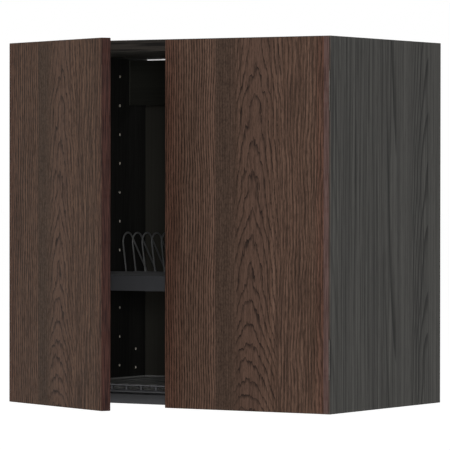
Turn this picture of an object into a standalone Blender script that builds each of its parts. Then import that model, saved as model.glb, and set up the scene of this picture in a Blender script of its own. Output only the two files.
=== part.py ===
# Dish drying cabinet for the wall: a two-door carcass with a plate rack, a glass tray and a drip tray.
#
# Metres, +Z up. +X is to the right seen from the front, +Y goes back towards the wall.
# The origin is on the wall side, in the middle of the top panel's rear edge, where the cabinet hangs.

import math

import bmesh
import bpy
from mathutils import Matrix, Vector

for old_object in list(bpy.data.objects):
    bpy.data.objects.remove(old_object, do_unlink=True)

# Clearances
fit_gap = 0.0003            # between two pieces that touch
lift_gap = 0.0012           # beside a piece that is lifted out
overrun = 0.002             # how far a cutter runs past what it cuts

# Carcass of laminated board
carcass_width = 0.600
carcass_height = 0.600
carcass_depth = 0.370
board = 0.018
board_edge_bevel = 0.0006
back_thickness = 0.003
back_inset = 0.003          # from the wall plane to the back panel
groove_depth = 0.007
groove_play = 0.0003
back_top_drop = 0.057       # open slot above the back panel, for the rail on the wall
rear_board_thickness = 0.016
rear_board_height = 0.0778
rear_board_setback = 0.3115  # from the carcass front to the board's front face
rear_board_slit = 0.0032    # between the rear board and the top panel
bottom_rail_thickness = 0.016
bottom_rail_height = 0.018
bottom_rail_lift = 0.003

# Shelf pin holes
hole_radius = 0.0025
hole_depth = 0.011
hole_spacing = 0.050
hole_row_front = 0.037      # from the front edge
hole_row_rear = 0.088       # from the wall plane
low_hole_row = 0.037        # from the wall plane
low_hole_height = 0.0445
low_hole_pitch = 0.032
low_hole_count = 2
hole_sides = 8

# Doors
door_thickness = 0.017
door_gap = 0.002            # between a closed door and the carcass
door_side_margin = 0.001
door_end_margin = 0.0015    # at the top and at the bottom
centre_gap = 0.004          # between the two closed doors
door_bevel = 0.0008
rest_open_angle = 25.3      # degrees: the left door stands open

# Leaf hinges, two on each door
hinge_axis_inset = 0.0015   # from the carcass side to the hinge axis
hinge_inset = 0.085         # from the door's end to the middle of the hinge
leaf_height = 0.064
leaf_width = 0.0145         # from the pin to the leaf's long edge
leaf_thickness = 0.0008
leaf_recess = 0.001         # depth of the seat cut for the leaf
knuckle_radius = 0.0014
knuckle_count = 5
knuckle_gap = 0.0004
knuckle_sides = 12
pin_radius = 0.0007
pin_play = 0.00015
leaf_screw_inset = 0.012    # from the leaf's end
leaf_screw_reach = 0.0085   # from the pin

# Screw holes: each board has a pilot bore behind every hole in a steel piece
screw_hole_radius = 0.0015
screw_bore_depth = 0.0117
screw_sides = 8

# Suspension brackets in the upper rear corners
bracket_thickness = 0.003
bracket_height = 0.040
bracket_side_depth = 0.022
bracket_wall_width = 0.034
bracket_top_drop = 0.008    # under the top panel
bracket_wall_setback = 0.011  # from the wall plane to the bracket's wall flange
bracket_screw_spread = 0.012
hanging_hole_radius = 0.0033
hanging_hole_inset = 0.014  # from the wall flange's free edge
hanging_hole_sides = 12

# Sheet steel of the drainer
steel = 0.0015

# Frame of the plate rack
rack_setback = 0.008        # from the carcass front to the rack's front face
rack_top = 0.2145           # above the carcass bottom
rack_rail_height = 0.025
rack_front_flange = 0.020
rack_front_foot = 0.008
rack_side_web = 0.011
rack_side_flange = 0.012
rack_rear_flange = 0.014
rack_wall_clear = 0.001     # to the back panel
rack_tab_setback = 0.0035   # from the rack's front face to the side rail
rack_hole_number = 4        # the shelf hole, counted from below, that holds the side rails
stud_clearance = 0.0003

# Plate insert of welded wires and two strips
cross_wire_radius = 0.00175
bearer_radius = 0.002
weld_depth = 0.0006         # how deep two welded wires sink into each other
wire_sides = 8
cross_wire_count = 6
cross_wire_first = 0.048    # from the carcass front
cross_wire_pitch = 0.037
bearer_count = 4
bearer_inset = 0.008        # from the side panel
strip_width = 0.008
strip_thickness = 0.002
strip_weld = 0.001

# Wire loops that stand the plates on edge
loop_pitch = 0.0196
loop_wire_radius = 0.0015
loop_radius = 0.0155
loop_centre_height = 0.0525  # crown centre over the strips
loop_crown_setback = 0.266   # from the carcass front to the crown's centre
loop_front_foot = 0.260      # from the carcass front
loop_rear_foot = 0.324
loop_foot_height = 0.003     # the straight end of each leg, square to its strip
first_loop_inset = 0.027     # from the side panel to the first loop
loop_arc_steps = 6

# Front rail and tray runners
front_rail_setback = 0.0015
front_rail_depth = 0.012
front_rail_height = 0.0155
front_rail_lift = 0.0048
runner_flange = 0.014
runner_height = 0.0155
runner_setback = 0.022
runner_rear_gap = 0.0257    # to the bottom rail behind
runner_screw_inset = 0.030
runner_screw_rise = 0.009   # above the runner's underside

# Drip tray
tray_wall = 0.0018
drip_tray_setback = 0.018
drip_tray_rear_gap = 0.003  # to the bottom rail behind
drip_tray_side_gap = 0.004  # from the runner's web to the tray's wall
drip_tray_rim_front = 0.0165
drip_tray_top = 0.0255

# Glass tray with its oval slots
glass_setback = 0.0015
glass_sheet = 0.0012
glass_rim_height = 0.0037
glass_lip_height = 0.010
glass_rear_gap = 0.0015
slot_pitch = 0.0285
slot_edge_margin = 0.016
lip_slot_width = 0.0245
lip_slot_height = 0.0056
lip_slot_middle = 0.0048    # above the tray's underside
floor_slot_width = 0.014
floor_slot_length = 0.130
floor_slot_rows = 2
slot_sides = 10

# Places worked out from the sizes
front = -carcass_depth
wall = 0.0
top = board / 2
bottom = top - carcass_height
inner_half = carcass_width / 2 - board
ceiling = top - board
back_front_y = wall - back_inset - back_thickness
door_width = carcass_width / 2 - door_side_margin - centre_gap / 2
door_back = front - door_gap
hinge_x = carcass_width / 2 - hinge_axis_inset
hinge_y = front - door_gap / 2
middle_z = (top + bottom) / 2
sides = (-1, 1)
side_names = ("left", "right")


def level(height):
    """Height above the carcass bottom, as a Z coordinate."""
    return bottom + height


def behind(distance):
    """Distance behind the carcass front edge, as a Y coordinate."""
    return front + distance


# Collections and materials
def new_collection(name):
    found = bpy.data.collections.get(name)
    if found is None:
        found = bpy.data.collections.new(name)
        bpy.context.scene.collection.children.link(found)
    return found


parts = new_collection("dish_drying_cabinet")
guides = new_collection("cutters")


def make_material(name, colour, roughness, metallic=0.0):
    material = bpy.data.materials.new(name)
    material.use_nodes = True
    shader = material.node_tree.nodes["Principled BSDF"]
    shader.inputs["Base Color"].default_value = (*colour, 1.0)
    shader.inputs["Roughness"].default_value = roughness
    shader.inputs["Metallic"].default_value = metallic
    material.diffuse_color = (*colour, 1.0)
    return material


black_board = make_material("black_board", (0.055, 0.055, 0.053), 0.6)
back_board = make_material("back_board", (0.035, 0.036, 0.033), 0.7)
door_veneer = make_material("door_veneer", (0.080, 0.045, 0.036), 0.5)
dark_steel = make_material("dark_steel", (0.060, 0.062, 0.070), 0.45, 0.3)
grey_wire = make_material("grey_wire", (0.20, 0.20, 0.20), 0.4, 0.4)
tray_plastic = make_material("tray_plastic", (0.10, 0.10, 0.105), 0.5)
zinc_steel = make_material("zinc_steel", (0.55, 0.55, 0.56), 0.35, 1.0)
hinge_steel = make_material("hinge_steel", (0.30, 0.30, 0.31), 0.35, 1.0)


# Shape helpers: each adds one closed solid to a bmesh
def put_box(bm, x, y, z):
    """A box between two X, two Y and two Z values."""
    size = Matrix.Diagonal((abs(x[1] - x[0]), abs(y[1] - y[0]), abs(z[1] - z[0]), 1))
    middle = Matrix.Translation(((x[0] + x[1]) / 2, (y[0] + y[1]) / 2, (z[0] + z[1]) / 2))
    bmesh.ops.create_cube(bm, size=1.0, matrix=middle @ size)


def put_rod(bm, start, end, radius, side_count):
    """A round rod from one point to another."""
    start = Vector(start)
    end = Vector(end)
    turn = (end - start).to_track_quat("Z", "Y").to_matrix().to_4x4()
    place = Matrix.Translation((start + end) / 2) @ turn
    bmesh.ops.create_cone(bm, cap_ends=True, segments=side_count, radius1=radius, radius2=radius,
                          depth=(end - start).length, matrix=place)


def put_oval(bm, centre, width, height, thickness, axis):
    """An oval plug of the given width and height, running along Y or Z."""
    turn = Matrix.Identity(4)
    if axis == "Y":
        turn = Matrix.Rotation(math.radians(90), 4, "X")
    stretch = Matrix.Diagonal((width / 2, height / 2, thickness, 1))
    bmesh.ops.create_cone(bm, cap_ends=True, segments=slot_sides, radius1=1.0, radius2=1.0, depth=1.0,
                          matrix=Matrix.Translation(centre) @ turn @ stretch)


def make_object(name, bm, material, pivot=None, bevel=0.0, collection=None):
    """Turns a bmesh in cabinet coordinates into a named object, on its pivot if it has one."""
    if pivot is not None:
        bmesh.ops.transform(bm, matrix=Matrix.Translation(-pivot["place"]), verts=bm.verts)
    mesh = bpy.data.meshes.new(name)
    bm.to_mesh(mesh)
    bm.free()
    mesh.shade_smooth()
    mesh.set_sharp_from_angle(angle=math.radians(35))
    made = bpy.data.objects.new(name, mesh)
    (collection or parts).objects.link(made)
    if material is not None:
        mesh.materials.append(material)
    if pivot is not None:
        made.parent = pivot["empty"]
    if bevel:
        edge = made.modifiers.new("edge", "BEVEL")
        edge.width = bevel
        edge.segments = 1
        edge.limit_method = "ANGLE"
    return made


def add_boolean(target, name, bm, pivot, operation):
    helper = make_object(name, bm, None, pivot, collection=guides)
    helper.hide_render = True
    helper.display_type = "WIRE"
    boolean = target.modifiers.new(name, "BOOLEAN")
    boolean.operation = operation
    boolean.solver = "EXACT"
    boolean.object = helper


def cut(target, name, bm, pivot=None):
    """Takes the solids in a bmesh out of the target."""
    add_boolean(target, name, bm, pivot, "DIFFERENCE")


def join(target, name, bm, pivot=None):
    """Adds the solids in a bmesh to the target."""
    add_boolean(target, name, bm, pivot, "UNION")


def make_folded(name, first, others, material, pivot=None):
    """A piece folded from sheet: its walls are boxes that overlap at the folds."""
    bm = bmesh.new()
    put_box(bm, *first)
    piece = make_object(name, bm, material, pivot)
    for number, box in enumerate(others):
        bm = bmesh.new()
        put_box(bm, *box)
        join(piece, name + "_wall_" + str(number + 1), bm, pivot)
    return piece


def make_pivot(name, place, turn_degrees=0.0):
    """An empty on a joint's axis that carries the pieces of one moving body."""
    empty = bpy.data.objects.new(name, None)
    empty.location = place
    empty.rotation_euler = (0.0, 0.0, math.radians(turn_degrees))
    parts.objects.link(empty)
    return {"empty": empty, "place": Vector(place)}


# Where the fasteners go, so that a hole and the bore behind it share one place
bracket_top = ceiling - bracket_top_drop
bracket_middle_z = bracket_top - bracket_height / 2
bracket_wall_y = wall - bracket_wall_setback
bracket_front_y = bracket_wall_y - bracket_side_depth
bracket_screw_y = (bracket_front_y + bracket_wall_y - bracket_thickness) / 2
runner_bottom = level(front_rail_lift)
bottom_rail_rear_y = back_front_y - fit_gap
bottom_rail_front_y = bottom_rail_rear_y - bottom_rail_thickness
runner_rear_y = bottom_rail_front_y - runner_rear_gap
rail_screw_y = behind(front_rail_setback + front_rail_depth / 2)


def shelf_hole_heights():
    """Heights of the holes in the two long rows."""
    count = int((carcass_height - hole_radius - board) / hole_spacing)
    return [hole_spacing * (number + 1) for number in range(count)]


def hinge_levels():
    return [bottom + door_end_margin + hinge_inset, top - door_end_margin - hinge_inset]


def leaf_screw_levels(middle):
    reach = leaf_height / 2 - leaf_screw_inset
    return [middle - reach, middle + reach]


def bracket_screw_places():
    return [(bracket_screw_y, bracket_middle_z - bracket_screw_spread),
            (bracket_screw_y, bracket_middle_z + bracket_screw_spread)]


def runner_screw_places():
    z = runner_bottom + runner_screw_rise
    return [(behind(runner_setback + runner_screw_inset), z),
            (runner_rear_y - runner_screw_inset, z)]


def rail_screw_places():
    return [(rail_screw_y, level(front_rail_lift + front_rail_height / 2))]


def put_side_holes(bm, side, places, from_x, to_x):
    """Screw holes along X, between two distances from the cabinet's middle."""
    for y, z in places:
        put_rod(bm, (side * from_x, y, z), (side * to_x, y, z), screw_hole_radius, screw_sides)


# Side panels: grooved for the back, bored for shelf pins and screws, and recessed for the hinges
def make_side_panel(side, name):
    bm = bmesh.new()
    put_box(bm, (side * inner_half, side * carcass_width / 2), (front, wall), (bottom, top))
    panel = make_object(name, bm, black_board, bevel=board_edge_bevel)

    seats = bmesh.new()
    put_box(seats, (side * (inner_half - overrun), side * (inner_half + groove_depth)),
            (back_front_y - groove_play, wall - back_inset + groove_play),
            (bottom - overrun, ceiling - back_top_drop + groove_play))
    for middle in hinge_levels():
        seat_x = side * (hinge_x - leaf_width - fit_gap)
        put_box(seats, (seat_x, side * (carcass_width / 2 + overrun)), (front - overrun, front + leaf_recess),
                (middle - leaf_height / 2 - fit_gap, middle + leaf_height / 2 + fit_gap))
    cut(panel, name + "_seats", seats)

    bores = bmesh.new()
    open_x = side * (inner_half - overrun)
    deep_x = side * (inner_half + hole_depth)
    for row in (front + hole_row_front, wall - hole_row_rear):
        for height in shelf_hole_heights():
            z = level(height)
            put_rod(bores, (open_x, row, z), (deep_x, row, z), hole_radius, hole_sides)
    for number in range(low_hole_count):
        z = level(low_hole_height + number * low_hole_pitch)
        put_rod(bores, (open_x, wall - low_hole_row, z), (deep_x, wall - low_hole_row, z),
                hole_radius, hole_sides)
    for places in (bracket_screw_places(), runner_screw_places(), rail_screw_places()):
        put_side_holes(bores, side, places, inner_half - overrun, inner_half + screw_bore_depth)
    for middle in hinge_levels():
        x = side * (hinge_x - leaf_screw_reach)
        for z in leaf_screw_levels(middle):
            put_rod(bores, (x, front - overrun, z), (x, front + leaf_recess + screw_bore_depth, z),
                    screw_hole_radius, screw_sides)
    cut(panel, name + "_bores", bores)


# Boards between the side panels
def make_cross_board(name, y, z, bevel=0.0):
    bm = bmesh.new()
    reach = inner_half - fit_gap
    put_box(bm, (-reach, reach), y, z)
    make_object(name, bm, black_board, bevel=bevel)


def make_cross_boards():
    make_cross_board("top_panel", (front, wall), (ceiling, top), board_edge_bevel)
    rear_top = ceiling - rear_board_slit
    rear_front_y = behind(rear_board_setback)
    make_cross_board("rear_top_board", (rear_front_y, rear_front_y + rear_board_thickness),
                     (rear_top - rear_board_height, rear_top), board_edge_bevel)
    make_cross_board("rear_bottom_rail", (bottom_rail_front_y, bottom_rail_rear_y),
                     (level(bottom_rail_lift), level(bottom_rail_lift + bottom_rail_height)))


def make_back_panel():
    bm = bmesh.new()
    reach = inner_half + groove_depth - groove_play
    put_box(bm, (-reach, reach), (back_front_y, wall - back_inset),
            (bottom + board_edge_bevel, ceiling - back_top_drop))
    make_object("back_panel", bm, back_board)


def make_suspension_bracket(side, name):
    """An angle on the side panel whose wall flange is bolted to the rail on the wall."""
    outer = side * (inner_half - fit_gap)
    z = (bracket_top - bracket_height, bracket_top)
    free_edge = outer - side * bracket_wall_width
    flange_y = (bracket_wall_y - bracket_thickness, bracket_wall_y)
    bracket = make_folded(
        name,
        ((outer, outer - side * bracket_thickness), (bracket_front_y, bracket_wall_y), z),
        [((outer - side * bracket_thickness / 2, free_edge), flange_y, z)],
        zinc_steel)
    holes = bmesh.new()
    hole_x = free_edge + side * hanging_hole_inset
    put_rod(holes, (hole_x, bracket_wall_y - bracket_thickness - overrun, bracket_middle_z),
            (hole_x, bracket_wall_y + overrun, bracket_middle_z), hanging_hole_radius, hanging_hole_sides)
    put_side_holes(holes, side, bracket_screw_places(), inner_half + overrun,
                   inner_half - fit_gap - bracket_thickness - overrun)
    cut(bracket, name + "_holes", holes)


# Hinges: a leaf on the carcass, a leaf on the door and the pin through both
def make_leaf(name, side, middle, on_door, pivot=None):
    """One hinge leaf. The carcass leaf has the odd knuckles and the door leaf the even ones."""
    axis_x = side * hinge_x
    if on_door:
        plate_near = door_back - leaf_recess + fit_gap
        plate_far = plate_near + leaf_thickness
    else:
        plate_near = front + leaf_recess - fit_gap
        plate_far = plate_near - leaf_thickness
    clear = knuckle_radius + knuckle_gap
    z_low = middle - leaf_height / 2
    z_high = middle + leaf_height / 2
    bm = bmesh.new()
    put_box(bm, (axis_x - side * clear, axis_x - side * leaf_width), (plate_near, plate_far), (z_low, z_high))
    leaf = make_object(name, bm, hinge_steel, pivot)
    knuckles = bmesh.new()
    tongues = bmesh.new()
    bores = bmesh.new()
    for number in range(knuckle_count):
        if (number % 2 == 1) != on_door:
            continue
        start = z_low + number * leaf_height / knuckle_count + knuckle_gap / 2
        end = start + leaf_height / knuckle_count - knuckle_gap
        put_rod(knuckles, (axis_x, hinge_y, start), (axis_x, hinge_y, end), knuckle_radius, knuckle_sides)
        put_box(tongues, (axis_x - side * pin_radius, axis_x - side * (clear + knuckle_gap)),
                (plate_near, plate_far), (start, end))
    put_rod(bores, (axis_x, hinge_y, z_low - overrun), (axis_x, hinge_y, z_high + overrun),
            pin_radius + pin_play, knuckle_sides)
    for z in leaf_screw_levels(middle):
        x = axis_x - side * leaf_screw_reach
        put_rod(bores, (x, plate_near - overrun, z), (x, plate_near + overrun, z),
                screw_hole_radius, screw_sides)
    join(leaf, name + "_tongues", tongues, pivot)
    join(leaf, name + "_knuckles", knuckles, pivot)
    cut(leaf, name + "_bores", bores, pivot)


def make_hinge_pin(name, side, middle):
    axis_x = side * hinge_x
    bm = bmesh.new()
    put_rod(bm, (axis_x, hinge_y, middle - leaf_height / 2), (axis_x, hinge_y, middle + leaf_height / 2),
            pin_radius, knuckle_sides)
    make_object(name, bm, hinge_steel)


# Doors
def make_door(side, name, pivot):
    hinge_edge = side * (carcass_width / 2 - door_side_margin)
    free_edge = hinge_edge - side * door_width
    bm = bmesh.new()
    put_box(bm, (hinge_edge, free_edge), (door_back - door_thickness, door_back),
            (bottom + door_end_margin, top - door_end_margin))
    door = make_object(name, bm, door_veneer, pivot, bevel=door_bevel)
    seats = bmesh.new()
    bores = bmesh.new()
    for middle in hinge_levels():
        put_box(seats, (hinge_edge + side * overrun, side * (hinge_x - leaf_width - fit_gap)),
                (door_back - leaf_recess, door_back + overrun),
                (middle - leaf_height / 2 - fit_gap, middle + leaf_height / 2 + fit_gap))
        x = side * (hinge_x - leaf_screw_reach)
        for z in leaf_screw_levels(middle):
            put_rod(bores, (x, door_back + overrun, z), (x, door_back - leaf_recess - screw_bore_depth, z),
                    screw_hole_radius, screw_sides)
    cut(door, name + "_seats", seats, pivot)
    cut(door, name + "_bores", bores, pivot)


# Frame of the plate rack: four rails of folded steel, fixed in the shelf holes of the side panels
rack_top_z = level(rack_top)
rack_front_y = behind(rack_setback)
rack_rear_y = back_front_y - rack_wall_clear
rack_stud_z = level(hole_spacing * rack_hole_number)
cross_wire_z = rack_top_z - cross_wire_radius
bearer_z = cross_wire_z - cross_wire_radius - bearer_radius + weld_depth
bearer_bottom = bearer_z - bearer_radius
seat_z = bearer_bottom - fit_gap
strip_top_z = bearer_z + bearer_radius - strip_weld + strip_thickness


def make_rack_side_rail(side, name):
    """An angle whose flange carries the plate insert and whose studs sit in two shelf holes."""
    outer = side * (inner_half - fit_gap)
    y = (rack_front_y + rack_tab_setback, rack_rear_y)
    flange_y = (rack_front_y + rack_front_flange + fit_gap, rack_rear_y)
    rail = make_folded(
        name,
        ((outer, outer - side * steel), y, (seat_z - rack_side_web, seat_z)),
        [((outer - side * steel / 2, outer - side * rack_side_flange), flange_y, (seat_z - steel, seat_z))],
        dark_steel)
    studs = bmesh.new()
    for row in (front + hole_row_front, wall - hole_row_rear):
        put_rod(studs, (outer - side * steel / 2, row, rack_stud_z),
                (side * (inner_half + hole_depth - fit_gap), row, rack_stud_z),
                hole_radius - stud_clearance, hole_sides)
    join(rail, name + "_studs", studs)


def make_rack_front_rail():
    reach = inner_half - fit_gap
    low = rack_top_z - rack_rail_height
    back_of_face = rack_front_y + steel / 2
    tab_outer = inner_half - fit_gap - steel - fit_gap
    top_z = (rack_top_z - steel, rack_top_z)
    tab_y = (back_of_face, rack_front_y + rack_front_flange)
    tab_z = (low + steel / 2, rack_top_z - steel / 2)
    tabs = [((side * tab_outer, side * (tab_outer - steel)), tab_y, tab_z) for side in sides]
    make_folded(
        "rack_front_rail",
        ((-reach, reach), (rack_front_y, rack_front_y + steel), (low, rack_top_z)),
        [((-reach, reach), tab_y, top_z),
         ((-reach, reach), (back_of_face, rack_front_y + rack_front_foot), (low, low + steel))] + tabs,
        dark_steel)


def make_rack_rear_rail():
    reach = inner_half - fit_gap - rack_side_flange - fit_gap
    make_folded(
        "rack_rear_rail",
        ((-reach, reach), (rack_rear_y - rack_rear_flange, rack_rear_y), (seat_z - steel, seat_z)),
        [((-reach, reach), (rack_rear_y - steel, rack_rear_y), (seat_z - rack_side_web, seat_z - steel / 2))],
        dark_steel)


# Plate insert: wires and strips welded into one piece, and the loops that stand on the strips
def make_plate_insert(pivot):
    reach = inner_half - fit_gap - steel - lift_gap
    first_y = rack_front_y + rack_front_flange + lift_gap
    last_y = rack_rear_y - rack_rear_flange / 2
    strips = bmesh.new()
    put_box(strips, (-reach, reach), (behind(loop_front_foot) - strip_width / 2,
                                      behind(loop_front_foot) + strip_width / 2),
            (strip_top_z - strip_thickness, strip_top_z))
    insert = make_object("plate_insert", strips, grey_wire, pivot)
    bearers = bmesh.new()
    for number in range(bearer_count):
        share = number / (bearer_count - 1)
        x = (inner_half - bearer_inset) * (2 * share - 1)
        put_rod(bearers, (x, first_y, bearer_z), (x, last_y, bearer_z), bearer_radius, wire_sides)
    join(insert, "plate_insert_bearers", bearers, pivot)
    rear_strip = bmesh.new()
    put_box(rear_strip, (-reach, reach), (behind(loop_rear_foot) - strip_width / 2,
                                          behind(loop_rear_foot) + strip_width / 2),
            (strip_top_z - strip_thickness, strip_top_z))
    join(insert, "plate_insert_rear_strip", rear_strip, pivot)
    cross_wires = bmesh.new()
    for number in range(cross_wire_count):
        y = behind(cross_wire_first + number * cross_wire_pitch)
        put_rod(cross_wires, (-reach, y, cross_wire_z), (reach, y, cross_wire_z),
                cross_wire_radius, wire_sides)
    join(insert, "plate_insert_cross_wires", cross_wires, pivot)


def loop_outline():
    """The (y, z) points of one loop: up the front leg, over the crown and down the long rear leg."""
    centre_y = behind(loop_crown_setback)
    foot_z = strip_top_z + fit_gap
    centre_z = strip_top_z + loop_centre_height
    front_y = behind(loop_front_foot)
    rear_y = behind(loop_rear_foot)
    bend_z = foot_z + loop_foot_height
    drop = centre_z - bend_z
    front_reach = centre_y - front_y
    rear_reach = rear_y - centre_y
    front_lean = math.acos(loop_radius / math.hypot(front_reach, drop))
    rear_lean = math.acos(loop_radius / math.hypot(rear_reach, drop))
    front_angle = math.pi + math.atan2(drop, front_reach) - front_lean
    rear_angle = rear_lean - math.atan2(drop, rear_reach)
    points = [(front_y, foot_z), (front_y, bend_z)]
    for step in range(loop_arc_steps + 1):
        angle = front_angle + (rear_angle - front_angle) * step / loop_arc_steps
        points.append((centre_y + loop_radius * math.cos(angle), centre_z + loop_radius * math.sin(angle)))
    points += [(rear_y, bend_z), (rear_y, foot_z)]
    return points


def make_plate_loops(pivot):
    """One wire loop after another along the cabinet, each its own object with the same shape."""
    curve = bpy.data.curves.new("plate_loop", "CURVE")
    curve.dimensions = "3D"
    curve.bevel_depth = loop_wire_radius
    curve.bevel_resolution = 2
    curve.use_fill_caps = True
    curve.materials.append(grey_wire)
    outline = loop_outline()
    spline = curve.splines.new("POLY")
    spline.points.add(len(outline) - 1)
    place = pivot["place"]
    for point, (y, z) in zip(spline.points, outline):
        point.co = (0.0, y - place.y, z - place.z, 1.0)
    count = int(2 * (inner_half - first_loop_inset) / loop_pitch) + 1
    for number in range(count):
        loop = bpy.data.objects.new("plate_loop_%02d" % (number + 1), curve)
        loop.location = ((number - (count - 1) / 2) * loop_pitch - place.x, 0.0, 0.0)
        parts.objects.link(loop)
        loop.parent = pivot["empty"]


# Bottom of the cabinet: front rail, runners, drip tray and glass tray
def make_bottom_front_rail():
    reach = inner_half - fit_gap
    near = behind(front_rail_setback)
    far = near + front_rail_depth
    low = level(front_rail_lift)
    high = low + front_rail_height
    tab_z = (low + steel / 2, high - steel / 2)
    tabs = [((side * reach, side * (reach - steel)), (near + steel / 2, far), tab_z) for side in sides]
    rail = make_folded(
        "bottom_front_rail",
        ((-reach, reach), (near, near + steel), (low, high)),
        [((-reach, reach), (near + steel / 2, far), (low, low + steel)),
         ((-reach, reach), (near + steel / 2, far), (high - steel, high))] + tabs,
        dark_steel)
    holes = bmesh.new()
    for side in sides:
        put_side_holes(holes, side, rail_screw_places(), inner_half + overrun, reach - steel - overrun)
    cut(rail, "bottom_front_rail_holes", holes)


def make_tray_runner(side, name):
    outer = side * (inner_half - fit_gap)
    y = (behind(runner_setback), runner_rear_y)
    flange_z = (runner_bottom, runner_bottom + steel)
    runner = make_folded(
        name,
        ((outer, outer - side * steel), y, (runner_bottom, runner_bottom + runner_height)),
        [((outer - side * steel / 2, outer - side * runner_flange), y, flange_z)],
        dark_steel)
    holes = bmesh.new()
    put_side_holes(holes, side, runner_screw_places(), inner_half + overrun,
                   inner_half - fit_gap - steel - overrun)
    cut(runner, name + "_holes", holes)


drip_top_z = level(drip_tray_top)
drip_floor_z = runner_bottom + steel + fit_gap
drip_front_y = behind(drip_tray_setback)


def make_drip_tray(pivot):
    half = inner_half - fit_gap - steel - drip_tray_side_gap
    rim_half = inner_half - lift_gap
    rear_y = bottom_rail_front_y - drip_tray_rear_gap
    bm = bmesh.new()
    put_box(bm, (-half, half), (drip_front_y, rear_y), (drip_floor_z, drip_top_z))
    tray = make_object("drip_tray", bm, tray_plastic, pivot)
    rim = bmesh.new()
    put_box(rim, (-rim_half, rim_half), (drip_front_y - drip_tray_rim_front, rear_y),
            (drip_top_z - tray_wall, drip_top_z))
    join(tray, "drip_tray_rim", rim, pivot)
    hollow = bmesh.new()
    put_box(hollow, (-half + tray_wall, half - tray_wall), (drip_front_y + tray_wall, rear_y - tray_wall),
            (drip_floor_z + tray_wall, drip_top_z + overrun))
    cut(tray, "drip_tray_hollow", hollow, pivot)


glass_bottom_z = drip_top_z + fit_gap
glass_front_y = behind(glass_setback)
glass_rear_y = back_front_y - glass_rear_gap
glass_half = inner_half - lift_gap


def slot_columns():
    count = int(2 * (glass_half - slot_edge_margin) / slot_pitch)
    return [(number - (count - 1) / 2) * slot_pitch for number in range(count)]


def make_glass_tray(pivot):
    lip_back_y = glass_front_y + glass_sheet
    bm = bmesh.new()
    put_box(bm, (-glass_half, glass_half), (glass_front_y, glass_rear_y),
            (glass_bottom_z, glass_bottom_z + glass_rim_height))
    tray = make_object("glass_tray", bm, dark_steel, pivot)
    lip = bmesh.new()
    put_box(lip, (-glass_half, glass_half), (glass_front_y, lip_back_y),
            (glass_bottom_z, glass_bottom_z + glass_lip_height))
    join(tray, "glass_tray_lip", lip, pivot)
    hollow = bmesh.new()
    put_box(hollow, (-glass_half + glass_sheet, glass_half - glass_sheet),
            (lip_back_y, glass_rear_y - glass_sheet),
            (glass_bottom_z + glass_sheet, glass_bottom_z + glass_lip_height + overrun))
    cut(tray, "glass_tray_hollow", hollow, pivot)
    slots = bmesh.new()
    row_start = lip_back_y + slot_edge_margin
    row_length = (glass_rear_y - slot_edge_margin - row_start) / floor_slot_rows
    for x in slot_columns():
        put_oval(slots, (x, glass_front_y + glass_sheet / 2, glass_bottom_z + lip_slot_middle),
                 lip_slot_width, lip_slot_height, glass_sheet + 2 * overrun, "Y")
        for row in range(floor_slot_rows):
            put_oval(slots, (x, row_start + (row + 0.5) * row_length, glass_bottom_z + glass_sheet / 2),
                     floor_slot_width, floor_slot_length, glass_sheet + 2 * overrun, "Z")
    cut(tray, "glass_tray_slots", slots, pivot)


# The fixed pieces
make_cross_boards()
make_back_panel()
make_rack_front_rail()
make_rack_rear_rail()
make_bottom_front_rail()
for side, side_name in zip(sides, side_names):
    make_side_panel(side, "side_panel_" + side_name)
    make_suspension_bracket(side, "suspension_bracket_" + side_name)
    make_rack_side_rail(side, "rack_side_rail_" + side_name)
    make_tray_runner(side, "tray_runner_" + side_name)

# The doors and their hinges
door_pivots = (
    make_pivot("left_door_axis", (-hinge_x, hinge_y, middle_z), -rest_open_angle),
    make_pivot("right_door_axis", (hinge_x, hinge_y, middle_z)),
)
for side, side_name, door_pivot in zip(sides, side_names, door_pivots):
    make_door(side, side_name + "_door", door_pivot)
    for place, hinge_z in zip(("lower", "upper"), hinge_levels()):
        hinge_name = side_name + "_hinge_" + place
        make_leaf(hinge_name + "_door_leaf", side, hinge_z, True, door_pivot)
        make_leaf(hinge_name + "_carcass_leaf", side, hinge_z, False)
        make_hinge_pin(hinge_name + "_pin", side, hinge_z)

# The pieces that lift out
rack_pivot = make_pivot("plate_rack_lift", (0.0, behind(loop_front_foot), seat_z))
make_plate_insert(rack_pivot)
make_plate_loops(rack_pivot)
make_drip_tray(make_pivot("drip_tray_lift", (0.0, drip_front_y, drip_floor_z)))
make_glass_tray(make_pivot("glass_tray_lift", (0.0, glass_front_y, glass_bottom_z)))
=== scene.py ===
# Dish drying cabinet: materials, small fittings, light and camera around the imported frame.

import math

import bmesh
import bpy
from mathutils import Matrix, Vector


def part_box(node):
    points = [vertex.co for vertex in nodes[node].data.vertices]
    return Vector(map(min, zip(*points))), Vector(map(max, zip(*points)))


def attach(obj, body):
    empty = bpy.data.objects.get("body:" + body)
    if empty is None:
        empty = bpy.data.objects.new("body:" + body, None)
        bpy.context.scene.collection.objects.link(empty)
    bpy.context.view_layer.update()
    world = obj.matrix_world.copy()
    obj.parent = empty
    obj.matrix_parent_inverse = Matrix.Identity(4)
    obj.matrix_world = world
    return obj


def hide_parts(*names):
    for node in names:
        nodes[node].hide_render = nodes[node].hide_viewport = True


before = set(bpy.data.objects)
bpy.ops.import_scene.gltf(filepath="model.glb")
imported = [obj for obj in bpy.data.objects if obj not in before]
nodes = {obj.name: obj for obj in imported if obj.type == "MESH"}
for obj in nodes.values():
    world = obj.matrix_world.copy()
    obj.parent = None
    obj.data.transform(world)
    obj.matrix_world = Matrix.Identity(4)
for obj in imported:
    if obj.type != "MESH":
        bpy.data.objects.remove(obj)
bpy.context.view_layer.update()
scene = bpy.context.scene

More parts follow.
